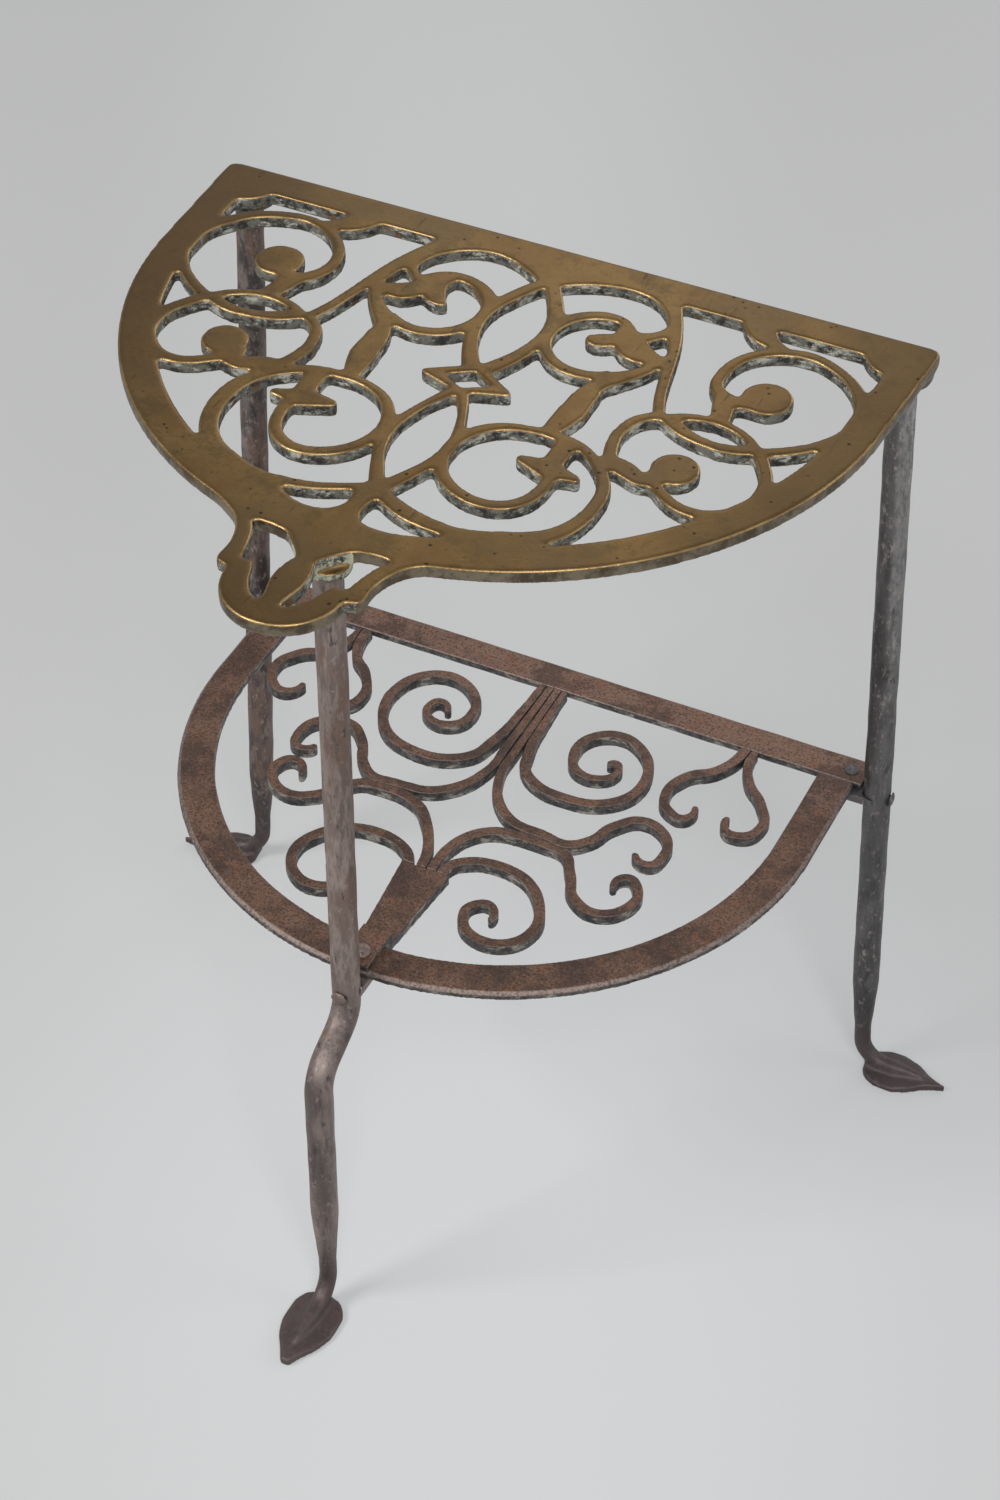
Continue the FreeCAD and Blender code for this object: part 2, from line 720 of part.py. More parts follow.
def brass_top():
    plan = top_face()
    outer = joined([body_face()] + handle_faces())
    side_place = Vector(side_leg_x, -side_leg_setback, 0)
    front_place = Vector(0, -front_leg_place, 0)
    side_boss = boss(side_place, leg_radius + side_boss_margin, outer)
    front_boss = boss(front_place, leg_radius + front_boss_margin, outer)
    plate = raised(plan, plate_bottom, plate_thickness)
    solid = joined([plate, side_boss, mirror_x(side_boss), front_boss])
    return trimmed(solid, [tenon_hole(p, h) for p, h in leg_tops()])


# Hammered round stock, which keeps faint flats

def flats(centre, radius, side, heading):
    """A section square to the heading, with a flat for each hammer pass."""
    other = heading.cross(side)
    turns = [math.radians(360) * (i + 0.5) / hammer_flats for i in range(hammer_flats)]
    return polygon([centre + (side * math.cos(t) + other * math.sin(t)) * radius for t in turns])


def taper(one, other):
    """A solid that runs straight from one section to the other."""
    return Part.makeLoft([one.OuterWire, other.OuterWire], True, True)


# The legs

def leg_tops():
    """Where each leg meets its boss, and the heading of the leg up into the top."""
    right = Vector(side_leg_x, -side_leg_setback, boss_bottom)
    heading = unit(Vector(-leg_lean, 0, 1))
    front = Vector(0, -front_leg_place, boss_bottom)
    left, left_heading = mirrored_points([right, heading])
    return [(right, heading), (left, left_heading), (front, Vector(0, 0, 1))]


def tenon_hole(place, heading):
    radius = tenon_diameter / 2 + tenon_clearance
    depth = tenon_length + tenon_clearance + cutter_overrun
    return Part.makeCylinder(radius, depth, place - heading * cutter_overrun, heading)


def foot_face(heel, outward, width, half_shares):
    """The leaf-shaped outline of a foot, from its heel to its tip."""
    across = left_of(outward)
    near = [heel + outward * (u * foot_length) + across * (v * width) for u, v in half_shares]
    far = [heel + outward * (u * foot_length) - across * (v * width) for u, v in half_shares]
    edges = [edge_of(*a) for a in smooth_arcs(near)]
    edges.append(Part.LineSegment(near[-1], far[-1]).toShape())
    edges += [edge_of(*a) for a in smooth_arcs(far[::-1])]
    edges.append(Part.LineSegment(far[0], near[0]).toShape())
    return face_of(edges)


def foot(heel, outward, width, half_shares):
    """A leaf-shaped foot, flat below and hammered thinner towards its sides."""
    heel = Vector(heel.x, heel.y, 0)
    drop = foot_thickness - foot_edge_thickness
    crown_radius = (width * width / 4 + drop * drop) / (2 * drop)
    start = heel - outward * foot_length + Vector(0, 0, foot_thickness - crown_radius)
    crown = Part.makeCylinder(crown_radius, 3 * foot_length, start, outward)
    plan = foot_face(heel, outward, width, half_shares)
    return raised(plan, 0, foot_thickness).common(crown)


def bent_path(places, radius):
    """Straight runs through the places, with a round bend at each inner one."""
    edges = []
    last = places[0]
    for before, here, after in zip(places, places[1:], places[2:]):
        back = unit(before - here)
        ahead = unit(after - here)
        half_angle = math.acos(back.dot(ahead)) / 2
        reach = radius / math.tan(half_angle)
        start = here + back * reach
        end = here + ahead * reach
        inward = unit(back + ahead)
        middle = here + inward * (radius / math.sin(half_angle) - radius)
        edges.append(Part.LineSegment(last, start).toShape())
        edges.append(Part.Arc(start, middle, end).toShape())
        last = end
    edges.append(Part.LineSegment(last, places[-1]).toShape())
    return Part.Wire(edges)


def above_shoulder(top):
    """The space over the level where the legs shoulder against the top."""
    corner = Vector(top.x - leg_diameter, top.y - leg_diameter, top.z)
    return Part.makeBox(2 * leg_diameter, 2 * leg_diameter, leg_diameter, corner)


def forged_leg(places, heading, outward, foot_width, foot_shares):
    """A hammer-rounded leg with its tenon, its drawn-down neck, the bend and the leaf foot."""
    top = places[0]
    corner = places[-1]
    down = unit(corner - places[-2])
    side = left_of(outward)
    neck_start = corner - down * neck_length
    taper_start = neck_start - down * neck_taper
    start = top + heading * cutter_overrun
    shaft_path = bent_path([start] + places[1:-1] + [taper_start], crank_bend_radius)
    shaft = shaft_path.makePipe(flats(start, leg_radius, side, heading)).cut(above_shoulder(top))
    neck_end = corner + outward * toe_reach
    neck_path = bent_path([neck_start, corner, neck_end], ankle_radius)
    neck_radius = neck_diameter / 2
    rib_end = neck_end + outward * rib_length
    rib_tip = flats(rib_end, rib_tip_diameter / 2, side, outward)
    heel = corner + outward * foot_heel_offset
    return joined([
        Part.makeCylinder(tenon_diameter / 2, tenon_length, top, heading),
        shaft,
        taper(flats(taper_start, leg_radius, side, down), flats(neck_start, neck_radius, side, down)),
        neck_path.makePipe(flats(neck_start, neck_radius, side, down)),
        taper(flats(neck_end, neck_radius, side, outward), rib_tip),
        foot(heel, outward, foot_width, foot_shares),
    ])


def side_leg():
    """The right leg: it leans out from the top and turns out into its pointed foot."""
    foot_shares = ((0, 0.2), (0.12, 0.42), (0.36, 0.5), (0.6, 0.36), (0.8, 0.14), (1, 0.03))
    top, heading = leg_tops()[0]
    run = (top.z - ankle_level) / heading.z
    corner = top - heading * run
    return forged_leg([top, corner], heading, Vector(1, 0, 0), side_foot_width, foot_shares)


def front_leg():
    """The front leg: straight, cranked forward below the shelf, then turned out into its foot."""
    foot_shares = ((0, 0.22), (0.1, 0.42), (0.36, 0.5), (0.62, 0.42), (0.86, 0.2), (1, 0.07))
    top, heading = leg_tops()[2]
    crank_top = lug_level - crank_start_drop
    upper = Vector(top.x, top.y, crank_top)
    lower = Vector(top.x, top.y - front_leg_crank, crank_top - crank_height)
    corner = Vector(lower.x, lower.y, ankle_level)
    places = [top, upper, lower, corner]
    return forged_leg(places, heading, Vector(0, -1, 0), front_foot_width, foot_shares)


# The iron shelf

def shelf_places(shares):
    """Places on the shelf, as shares of its half width and of its reach from the top's back edge."""
    return [Vector(x * shelf_half_width, -y * shelf_front, 0) for x, y in shares]


def shelf_bars_of(right_shares, left_shares, width_shares):
    """A square bar of each side, bent flat, its top flush with the shelf.

    The left one is drawn mirrored, so that both can be dressed against the same pieces.
    """
    widths = widths_of(scroll_bar_width, width_shares)
    faces = [band(shelf_places(line), widths, round_end=True) for line in (right_shares, left_shares)]
    return [raised(face, shelf_height - scroll_bar_height, scroll_bar_height) for face in faces]


def strip(face):
    return raised(face, shelf_height - shelf_strip_thickness, shelf_strip_thickness)


def shelf_rear_bar():
    corner = Vector(-shelf_half_width, shelf_back_overhang - shelf_back_bar_width, 0)
    return strip(Part.makePlane(2 * shelf_half_width, shelf_back_bar_width, corner))


def rim_face(inset):
    """The D inside the rim's outer edge: a half circle at the front, straight sides to the rear bar."""
    outer_radius = shelf_half_width - shelf_rim_setback
    radius = outer_radius - inset
    centre = Vector(0, outer_radius - shelf_front, 0)
    right = centre + Vector(radius, 0, 0)
    back_right = Vector(radius, 0, 0)
    left, back_left = mirrored_points([right, back_right])
    edges = [
        Part.LineSegment(back_left, back_right).toShape(),
        Part.LineSegment(back_right, right).toShape(),
        Part.Arc(right, centre - Vector(0, radius, 0), left).toShape(),
        Part.LineSegment(left, back_left).toShape(),
    ]
    return face_of(edges)


def shelf_rim():
    """The bent strip round the shelf, with its upper outer edge worked down."""
    side_height = shelf_strip_thickness - shelf_rim_chamfer
    outer = rim_face(0)
    edge = lifted_wire(outer, side_height)
    top_edge = lifted_wire(rim_face(shelf_rim_chamfer), shelf_strip_thickness)
    worked = Part.makeLoft([edge, top_edge], True, True)
    solid = outer.extrude(Vector(0, 0, side_height)).fuse(worked).removeSplitter()
    solid = solid.cut(rim_face(shelf_rim_width).extrude(Vector(0, 0, shelf_strip_thickness)))
    solid.translate(Vector(0, 0, shelf_height - shelf_strip_thickness))
    return trimmed(solid, [behind_rear_bar()])


def lifted_wire(face, level):
    wire = face.OuterWire.copy()
    wire.translate(Vector(0, 0, level))
    return wire


def behind_rear_bar():
    """The space behind the front edge of the rear bar."""
    size = 2 * shelf_half_width
    corner = Vector(-shelf_half_width, shelf_back_overhang - shelf_back_bar_width, 0)
    return Part.makeBox(size, size, top_height, corner)


def beyond_middle():
    """The space on the left of the middle line."""
    corner = Vector(-top_half_width, -foot_front, 0)
    return Part.makeBox(top_half_width, 2 * foot_front, top_height, corner)


def rear_branches():
    """The bar that runs forward from the rear bar and ends in the upper small scroll."""
    right_shares = (
        (0.012, 0.049), (0.014, 0.165), (0.015, 0.264), (0.021, 0.363), (0.061, 0.429),
        (0.138, 0.476), (0.238, 0.485), (0.326, 0.489), (0.376, 0.459), (0.414, 0.398),
        (0.479, 0.357), (0.56, 0.374), (0.594, 0.426), (0.564, 0.473), (0.52, 0.459),
    )
    left_shares = (
        (0.012, 0.049), (0.014, 0.165), (0.017, 0.264), (0.023, 0.357), (0.061, 0.42),
        (0.138, 0.467), (0.238, 0.477), (0.326, 0.477), (0.376, 0.445), (0.418, 0.39),
        (0.483, 0.352), (0.564, 0.364), (0.606, 0.415), (0.579, 0.466), (0.535, 0.452),
    )
    width_shares = ((0, 0.66), (0.3, 0.8), (0.45, 0.95), (0.9, 0.85), (1, 0.6))
    return shelf_bars_of(right_shares, left_shares, width_shares)


def rear_scrolls():
    """The big scroll that rolls up behind the branch."""
    right_shares = (
        (0.035, 0.049), (0.038, 0.154), (0.051, 0.258), (0.084, 0.327), (0.153, 0.358),
        (0.238, 0.364), (0.33, 0.351), (0.401, 0.304), (0.416, 0.236), (0.364, 0.162),
        (0.272, 0.135), (0.196, 0.165), (0.176, 0.225), (0.222, 0.278), (0.284, 0.28),
        (0.322, 0.259), (0.327, 0.234), (0.311, 0.219), (0.294, 0.225),
    )
    left_shares = (
        (0.04, 0.049), (0.044, 0.154), (0.063, 0.264), (0.096, 0.33), (0.169, 0.364),
        (0.261, 0.369), (0.353, 0.349), (0.42, 0.291), (0.437, 0.22), (0.399, 0.151),
        (0.314, 0.118), (0.226, 0.139), (0.176, 0.198), (0.199, 0.254), (0.268, 0.266),
        (0.31, 0.234), (0.28, 0.202), (0.25, 0.22),
    )
    width_shares = ((0, 0.6), (0.12, 0.85), (0.2, 0.95), (0.8, 0.9), (1, 0.6))
    return shelf_bars_of(right_shares, left_shares, width_shares)


def front_branches():
    """The bar that runs back from the front stem and ends in the lower small scroll."""
    right_shares = (
        (0.017, 0.692), (0.018, 0.621), (0.046, 0.563), (0.107, 0.521), (0.184, 0.51),
        (0.261, 0.51), (0.33, 0.515), (0.383, 0.566), (0.433, 0.626), (0.506, 0.647),
        (0.579, 0.613), (0.587, 0.552), (0.533, 0.526), (0.514, 0.56),
    )
    left_shares = (
        (0.017, 0.692), (0.023, 0.646), (0.046, 0.602), (0.083, 0.559), (0.13, 0.522),
        (0.192, 0.503), (0.268, 0.5), (0.334, 0.507), (0.383, 0.541), (0.429, 0.58),
        (0.502, 0.604), (0.574, 0.582), (0.598, 0.536), (0.563, 0.505), (0.525, 0.515),
        (0.514, 0.536),
    )
    width_shares = ((0, 0.9), (0.3, 0.95), (0.9, 0.85), (1, 0.6))
    return shelf_bars_of(right_shares, left_shares, width_shares)


def front_scrolls():
    """The big scroll that rolls up in front of the branch."""
    right_shares = (
        (0.052, 0.692), (0.061, 0.648), (0.107, 0.62), (0.192, 0.608), (0.284, 0.623),
        (0.36, 0.679), (0.386, 0.739), (0.349, 0.797), (0.265, 0.816), (0.192, 0.786),
        (0.184, 0.736), (0.23, 0.718), (0.259, 0.753),
    )
    left_shares = (
        (0.052, 0.692), (0.065, 0.665), (0.111, 0.639), (0.184, 0.627), (0.276, 0.64),
        (0.349, 0.687), (0.377, 0.741), (0.345, 0.799), (0.276, 0.823), (0.207, 0.805),
        (0.184, 0.761), (0.222, 0.734), (0.257, 0.758),
    )
    width_shares = ((0, 0.9), (0.3, 0.95), (0.8, 0.9), (1, 0.6))
    return shelf_bars_of(right_shares, left_shares, width_shares)


def inner_corner_scrolls():
    """The inner bar of the pair at the corner, which curls towards the middle."""
    right_shares = (
        (0.63, 0.044), (0.626, 0.093), (0.592, 0.145), (0.521, 0.191), (0.493, 0.247),
        (0.525, 0.302), (0.587, 0.31), (0.598, 0.276),
    )
    left_shares = (
        (0.637, 0.044), (0.639, 0.093), (0.613, 0.148), (0.548, 0.195), (0.514, 0.247),
        (0.533, 0.299), (0.587, 0.31), (0.602, 0.276),
    )
    width_shares = ((0, 0.95), (0.8, 0.85), (1, 0.6))
    return shelf_bars_of(right_shares, left_shares, width_shares)


def outer_corner_scrolls():
    """The outer bar of the pair at the corner, which curls towards the rim."""
    right_shares = (
        (0.661, 0.044), (0.666, 0.104), (0.698, 0.152), (0.763, 0.201), (0.802, 0.258),
        (0.771, 0.308), (0.713, 0.308), (0.698, 0.277),
    )
    left_shares = (
        (0.66, 0.044), (0.667, 0.099), (0.709, 0.157), (0.782, 0.195), (0.819, 0.245),
        (0.798, 0.297), (0.74, 0.319), (0.7, 0.286),
    )
    width_shares = ((0, 0.85), (0.8, 0.85), (1, 0.6))
    return shelf_bars_of(right_shares, left_shares, width_shares)


def front_stem():
    """The wedge that gathers the front bars, lapped over the rim at its tip."""
    start, end = shelf_places([(0, stem_start_share), (0, stem_end_share)])
    half_tip = Vector(stem_end_width / 2, 0, 0)
    inside = Vector(0, shelf_rim_width - shelf_front, 0)
    right = [start + Vector(stem_width / 2, 0, 0), inside - Vector(0, cutter_overrun, 0) + half_tip]
    lap_right = [inside + Vector(0, stem_lap_run, 0) + half_tip, end + half_tip]
    wedge = polygon(right + mirrored_points(right)[::-1])
    lap = polygon(lap_right + mirrored_points(lap_right)[::-1])
    body = raised(wedge, shelf_height - scroll_bar_height, scroll_bar_height)
    return joined([body, raised(lap, shelf_height, stem_lap_rise)])


# The lugs and rivets

def lug(place, outward, leg):
    """A flat lug under the shelf, with a peg through the leg that is headed over outside."""
    across = left_of(outward) * (lug_width / 2)
    inner = place - outward * (leg_radius + lug_reach)
    arm = box_between(inner - across, place + across, lug_thickness)
    arm.translate(Vector(0, 0, lug_level - lug_thickness / 2))
    return joined([trimmed(arm, [leg]), peg(place, outward)])


def peg(place, outward):
    """The lug's round end, from inside the leg to its low head on the outer side."""
    side = left_of(outward)
    start = Vector(place.x, place.y, lug_level) - outward * (leg_radius + cutter_overrun)
    end = start + outward * (leg_diameter + cutter_overrun)
    radius = lug_peg_diameter / 2
    shank = taper(flats(start, radius, side, outward), flats(end, radius, side, outward))
    return joined([shank] + domed_head(end, side, outward, peg_head_diameter, peg_head_height))


def box_between(one, other, height):
    corner = Vector(min(one.x, other.x), min(one.y, other.y), 0)
    return Part.makeBox(abs(one.x - other.x), abs(one.y - other.y), height, corner)


def domed_head(place, side, direction, diameter, height):
    """A low hammered rivet head, in two steps."""
    dome_shares = ((0, 1), (0.6, 0.78), (1, 0.36))
    sections = []
    for height_share, width_share in dome_shares:
        centre = place + direction * (height * height_share)
        sections.append(flats(centre, diameter / 2 * width_share, side, direction))
    return [taper(one, two) for one, two in zip(sections, sections[1:])]


def rivet(start, side, direction, grip, head_diameter, head_height):
    """A shank with a low head at each end of its grip."""
    end = start + direction * grip
    radius = rivet_diameter / 2
    shank = taper(flats(start, radius, side, direction), flats(end, radius, side, direction))
    near = domed_head(start, side, direction * -1, head_diameter, head_height)
    far = domed_head(end, side, direction, head_diameter, head_height)
    return joined([shank] + near + far)


def shelf_leg_places():
    """The middle of each leg at the level of the lugs, and the way out from the shelf."""
    side = side_leg_x + leg_lean * (boss_bottom - lug_level)
    right = Vector(side, -side_leg_setback, 0)
    left = Vector(-side, -side_leg_setback, 0)
    front = Vector(0, -front_leg_place, 0)
    return [(right, Vector(1, 0, 0)), (left, Vector(-1, 0, 0)), (front, Vector(0, -1, 0))]


def shelf_rivets():
    """Upright rivets that hold the shelf down on the side lugs."""
    rivets = []
    for place, outward in shelf_leg_places()[:2]:
        start = place - outward * (leg_radius + rivet_setback)
        start.y = shelf_back_overhang - shelf_back_bar_width / 2
        start.z = shelf_height - shelf_strip_thickness - lug_thickness
        grip = shelf_strip_thickness + lug_thickness
        heads = (rivet_head_diameter, rivet_head_height)
        rivets.append(rivet(start, outward, Vector(0, 0, 1), grip, *heads))
    return rivets


def stem_rivet():
    """The domed rivet through the stem's lap, the rim and the front lug."""
    level = shelf_height - shelf_strip_thickness - lug_thickness
    start = Vector(0, leg_radius + rivet_setback - front_leg_place, level)
    grip = lug_thickness + shelf_strip_thickness + stem_lap_rise
    return rivet(start, Vector(1, 0, 0), Vector(0, 0, 1), grip, dome_head_diameter, dome_head_height)


# The whole trivet

def all_nodes():
    """Every piece under its own name."""
    uprights = shelf_rivets()
    middle = stem_rivet()
    pins = uprights + [middle]
    right_leg = side_leg()
    legs = {"right_leg": right_leg, "left_leg": mirror_x(right_leg), "front_leg": front_leg()}
    leg_solids = list(legs.values())
    pegs = [peg(place, outward) for place, outward in shelf_leg_places()]
    rear_bar = trimmed(shelf_rear_bar(), leg_solids)
    rim = trimmed(shelf_rim(), leg_solids + [rear_bar])
    stem = trimmed(front_stem(), [rim])
    nodes = {"brass_top": brass_top()}
    for name, solid in legs.items():
        nodes[name] = trimmed(solid, pegs)
    nodes["shelf_rear_bar"] = trimmed(rear_bar, pins)
    nodes["shelf_rim"] = trimmed(rim, pins)
    nodes["front_stem"] = trimmed(stem, pins)
    for name, (right, left) in shelf_bars(rear_bar, rim, stem).items():
        nodes[name + "_right"] = right
        nodes[name + "_left"] = mirror_x(left)
    names = ("right_lug", "left_lug", "front_lug")
    for name, leg, (place, outward) in zip(names, leg_solids, shelf_leg_places()):
        nodes[name] = trimmed(lug(place, outward, leg), pins)
    nodes["shelf_rivets"] = Part.makeCompound(uprights)
    nodes["stem_rivet"] = middle
    return nodes


def shelf_bars(rear_bar, rim, stem):
    """The bent bars of both sides, each dressed to fit against those before it on its side."""
    fixed = [rear_bar, rim, stem, beyond_middle(), behind_rear_bar()]
    makers = {
        "rear_branch": rear_branches,
        "rear_scroll": rear_scrolls,
        "front_branch": front_branches,
        "front_scroll": front_scrolls,
        "inner_corner_scroll": inner_corner_scrolls,
        "outer_corner_scroll": outer_corner_scrolls,
    }
    bars = {}
    done = ([], [])
    for name, maker in makers.items():
        pair = maker()
        bars[name] = [trimmed(bar, fixed + before) for bar, before in zip(pair, done)]
        for bar, before in zip(bars[name], done):
            before.append(bar)
    return bars


def main():
    os.makedirs("parts", exist_ok=True)
    for name, shape in all_nodes().items():
        placed = shape.copy()
        placed.translate(Vector(0, middle_depth, 0))
        placed.exportStep("parts/" + name + ".step")
        print(name, len(placed.Solids), "solid(s)", round(placed.Volume), "mm3", placed.isValid())


main()
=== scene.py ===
"""A hearth trivet with a pierced brass top, dressed for a studio photograph. Metres, Z up."""
import math
from collections import namedtuple

import bpy
import numpy as np
from mathutils import Matrix, Vector, noise


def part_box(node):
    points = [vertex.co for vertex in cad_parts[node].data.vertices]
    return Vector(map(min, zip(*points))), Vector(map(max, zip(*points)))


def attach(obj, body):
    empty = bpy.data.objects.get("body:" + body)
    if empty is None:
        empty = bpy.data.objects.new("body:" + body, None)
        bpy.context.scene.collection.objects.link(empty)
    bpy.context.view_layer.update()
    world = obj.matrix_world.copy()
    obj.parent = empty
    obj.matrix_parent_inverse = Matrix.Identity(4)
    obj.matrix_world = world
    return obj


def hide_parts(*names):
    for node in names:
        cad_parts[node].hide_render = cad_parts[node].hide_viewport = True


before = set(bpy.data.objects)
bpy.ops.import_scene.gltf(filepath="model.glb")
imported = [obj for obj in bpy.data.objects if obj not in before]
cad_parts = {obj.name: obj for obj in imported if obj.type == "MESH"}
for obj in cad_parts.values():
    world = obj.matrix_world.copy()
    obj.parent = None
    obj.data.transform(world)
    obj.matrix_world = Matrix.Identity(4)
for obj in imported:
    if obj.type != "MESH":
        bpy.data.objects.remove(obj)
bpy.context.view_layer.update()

MM = 0.001
BODY = "root"
SIDES = ("left", "right")

# How far each kind of piece is softened and dented. The rounds are smoothings of its edges,
# the plan rounds are smoothings of its corners seen from above.
Wear = namedtuple("Wear", "voxel rounds plan_rounds depth spacing")
CAST_TOP = Wear(0.7 * MM, 8, 8, 0.08 * MM, 22 * MM)
FORGED_LEG = Wear(0.8 * MM, 8, 0, 0.5 * MM, 11 * MM)
SMALL_LUG = Wear(0.35 * MM, 4, 0, 0.12 * MM, 6 * MM)
FLAT_STRIP = Wear(0.65 * MM, 3, 0, 0.3 * MM, 16 * MM)
SHELF_STEM = Wear(0.45 * MM, 5, 0, 0.3 * MM, 9 * MM)
SCROLL_BAR = Wear(0.45 * MM, 4, 0, 0.25 * MM, 7 * MM)
RIVET_HEAD = Wear(0.3 * MM, 6, 0, 0.1 * MM, 3 * MM)

# Colours, as linear red, green and blue
BRASS = {
    "face_shade": (0.205, 0.121, 0.045),
    "face_light": (0.252, 0.155, 0.058),
    "face_grain": (0.194, 0.115, 0.043),
    "stain": (0.144, 0.095, 0.042),
    "browned": (0.18, 0.115, 0.052),
    # painted shade over the front half and the side corners
    "painted_front_shade": (0.133, 0.083, 0.036),
    "pit": (0.043, 0.029, 0.017),
    "scratch": (0.086, 0.058, 0.029),
    "edge_shade": (0.2, 0.124, 0.052),
    "edge_light": (0.336, 0.224, 0.1),
    "grime_dark": (0.027, 0.024, 0.022),
    "grime_grey": (0.144, 0.142, 0.119),
    "grime_pale": (0.468, 0.468, 0.405),
    "grime_brown": (0.144, 0.077, 0.027),
    "verdigris": (0.45, 0.459, 0.342),
    "wall_shade": (0.111, 0.085, 0.058),
    "wall_light": (0.247, 0.208, 0.15),
}
LEG = {
    "mauve_shade": (0.103, 0.079, 0.073),
    "mauve_light": (0.224, 0.176, 0.16),
    "rubbed_shade": (0.19, 0.137, 0.12),
    "rubbed_light": (0.45, 0.36, 0.31),
    "flake": (0.05, 0.043, 0.041),
    "rust": (0.163, 0.105, 0.084),
    "grey_shade": (0.047, 0.046, 0.046),
    "grey_light": (0.112, 0.107, 0.107),
    "worn": (0.361, 0.353, 0.335),
    # painted sheen: the right leg's upper part is lighter where it faces right
    "painted_sheen_shade": (0.189, 0.185, 0.181),
    "painted_sheen_light": (0.344, 0.335, 0.331),
    "streak": (0.034, 0.028, 0.028),
    "fleck": (0.31, 0.267, 0.245),
    "pit": (0.039, 0.032, 0.032),
    "foot": (0.073, 0.052, 0.053),
}
SHELF = {
    "face_shade": (0.126, 0.076, 0.055),
    "face_light": (0.235, 0.133, 0.091),
    # painted sheen on the rear bar's face
    "rear": (0.336, 0.197, 0.147),
    "rust": (0.277, 0.126, 0.071),
    "stain": (0.071, 0.046, 0.038),
    "speck": (0.046, 0.031, 0.026),
    "fleck": (0.252, 0.168, 0.134),
    "edge_shade": (0.08, 0.054, 0.045),
    "strip_edge": (0.25, 0.195, 0.17),
    "bar_edge": (0.17, 0.115, 0.09),
    "wall_shade": (0.035, 0.033, 0.034),
    "wall_light": (0.114, 0.106, 0.102),
    "scale": (0.387, 0.352, 0.299),
}
FLOOR = {
    # painted light: a brighter pool near the middle and a brighter band; painted shade far away
    "near": (0.62, 0.625, 0.635),
    "around": (0.545, 0.55, 0.545),
    "band": (0.70, 0.71, 0.71),
    "far": (0.485, 0.49, 0.50),
}

# Name, place, the point it faces, size and watts of each lamp
LAMPS = (
    ("key_left", (-1.25, -1.35, 1.75), (0, 0, 0.2), 0.85, 35),
    ("key_right", (0.95, -1.45, 1.75), (0, 0, 0.2), 0.85, 26),
    ("side_fill", (1.7, 0.5, 0.8), (0, 0, 0.15), 0.8, 5),
    ("back_fill", (0.5, 1.9, 0.9), (0, 0, 0.15), 1.0, 6),
    ("back_sheen", (-0.49, 1.42, 1.26), (0.03, 0.09, 0.353), 0.6, 0.85),
)


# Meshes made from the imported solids

def fresh_copy(node, name):
    """A new object with a copy of a node's mesh, its doubled vertices merged."""
    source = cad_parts[node]
    mesh = source.data.copy()
    mesh.materials.clear()
    piece = bpy.data.objects.new(name, mesh)
    piece.matrix_world = source.matrix_world.copy()
    bpy.context.scene.collection.objects.link(piece)
    weld = piece.modifiers.new("weld", "WELD")
    weld.merge_threshold = 0.002 * MM
    bake(piece)
    return piece


def bake(piece):
    """Applies the piece's modifiers to its mesh."""
    graph = bpy.context.evaluated_depsgraph_get()
    mesh = bpy.data.meshes.new_from_object(piece.evaluated_get(graph))
    piece.modifiers.clear()
    piece.data = mesh


def soften(piece, wear):
    """Turns sharp edges and plan corners into the soft ones of cast or forged metal."""
    remesh = piece.modifiers.new("remesh", "REMESH")
    remesh.mode = "VOXEL"
    remesh.voxel_size = wear.voxel
    remesh.adaptivity = 0
    for rounds, upright in ((wear.rounds, True), (wear.plan_rounds, False)):
        if rounds:
            smooth = piece.modifiers.new("smooth", "SMOOTH")
            smooth.factor = 0.5
            smooth.iterations = rounds
            smooth.use_z = upright
    bake(piece)


def hammer(piece, wear, seed):
    """Sinks the surface by an uneven depth, as hammering or casting leaves it."""
    mesh = piece.data
    places = np.empty(len(mesh.vertices) * 3)
    normals = np.empty_like(places)
    mesh.vertices.foreach_get("co", places)
    mesh.vertices.foreach_get("normal", normals)
    places = places.reshape(-1, 3)
    normals = normals.reshape(-1, 3)
    shift = Vector((seed, 2 * seed, 3 * seed))
    dents = np.array([noise.noise(Vector(place / wear.spacing) + shift) for place in places])
    places -= normals * ((0.5 + 0.5 * dents) * wear.depth)[:, None]
    mesh.vertices.foreach_set("co", places.ravel())
    mesh.update()


def dress(node, finish, wear, seed):
    """A softened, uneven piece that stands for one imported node."""
    piece = fresh_copy(node, "look_" + node)
    soften(piece, wear)
    hammer(piece, wear, seed)
    piece.data.shade_smooth()
    piece.data.materials.append(finish)
    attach(piece, BODY)
    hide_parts(node)
    return piece


def turn_foot(leg):
    """Turns the left foot a little to the front, about its ankle."""
    whole_turn = math.radians(11)
    ankle_inset = 37 * MM
    foot_height = 20 * MM
    bend_start = 2 * MM
    bend_run = 8 * MM
    low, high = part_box("left_leg")
    ankle_x = low.x + ankle_inset
    ankle_y = (low.y + high.y) / 2
    for vertex in leg.data.vertices:
        x, y, z = vertex.co
        share = min(max((ankle_x - x + bend_start) / bend_run, 0), 1)
        if z < foot_height and share > 0:
            turn = share * whole_turn
            away_x, away_y = x - ankle_x, y - ankle_y
            vertex.co.x = ankle_x + away_x * math.cos(turn) - away_y * math.sin(turn)
            vertex.co.y = ankle_y + away_x * math.sin(turn) + away_y * math.cos(turn)


# Materials

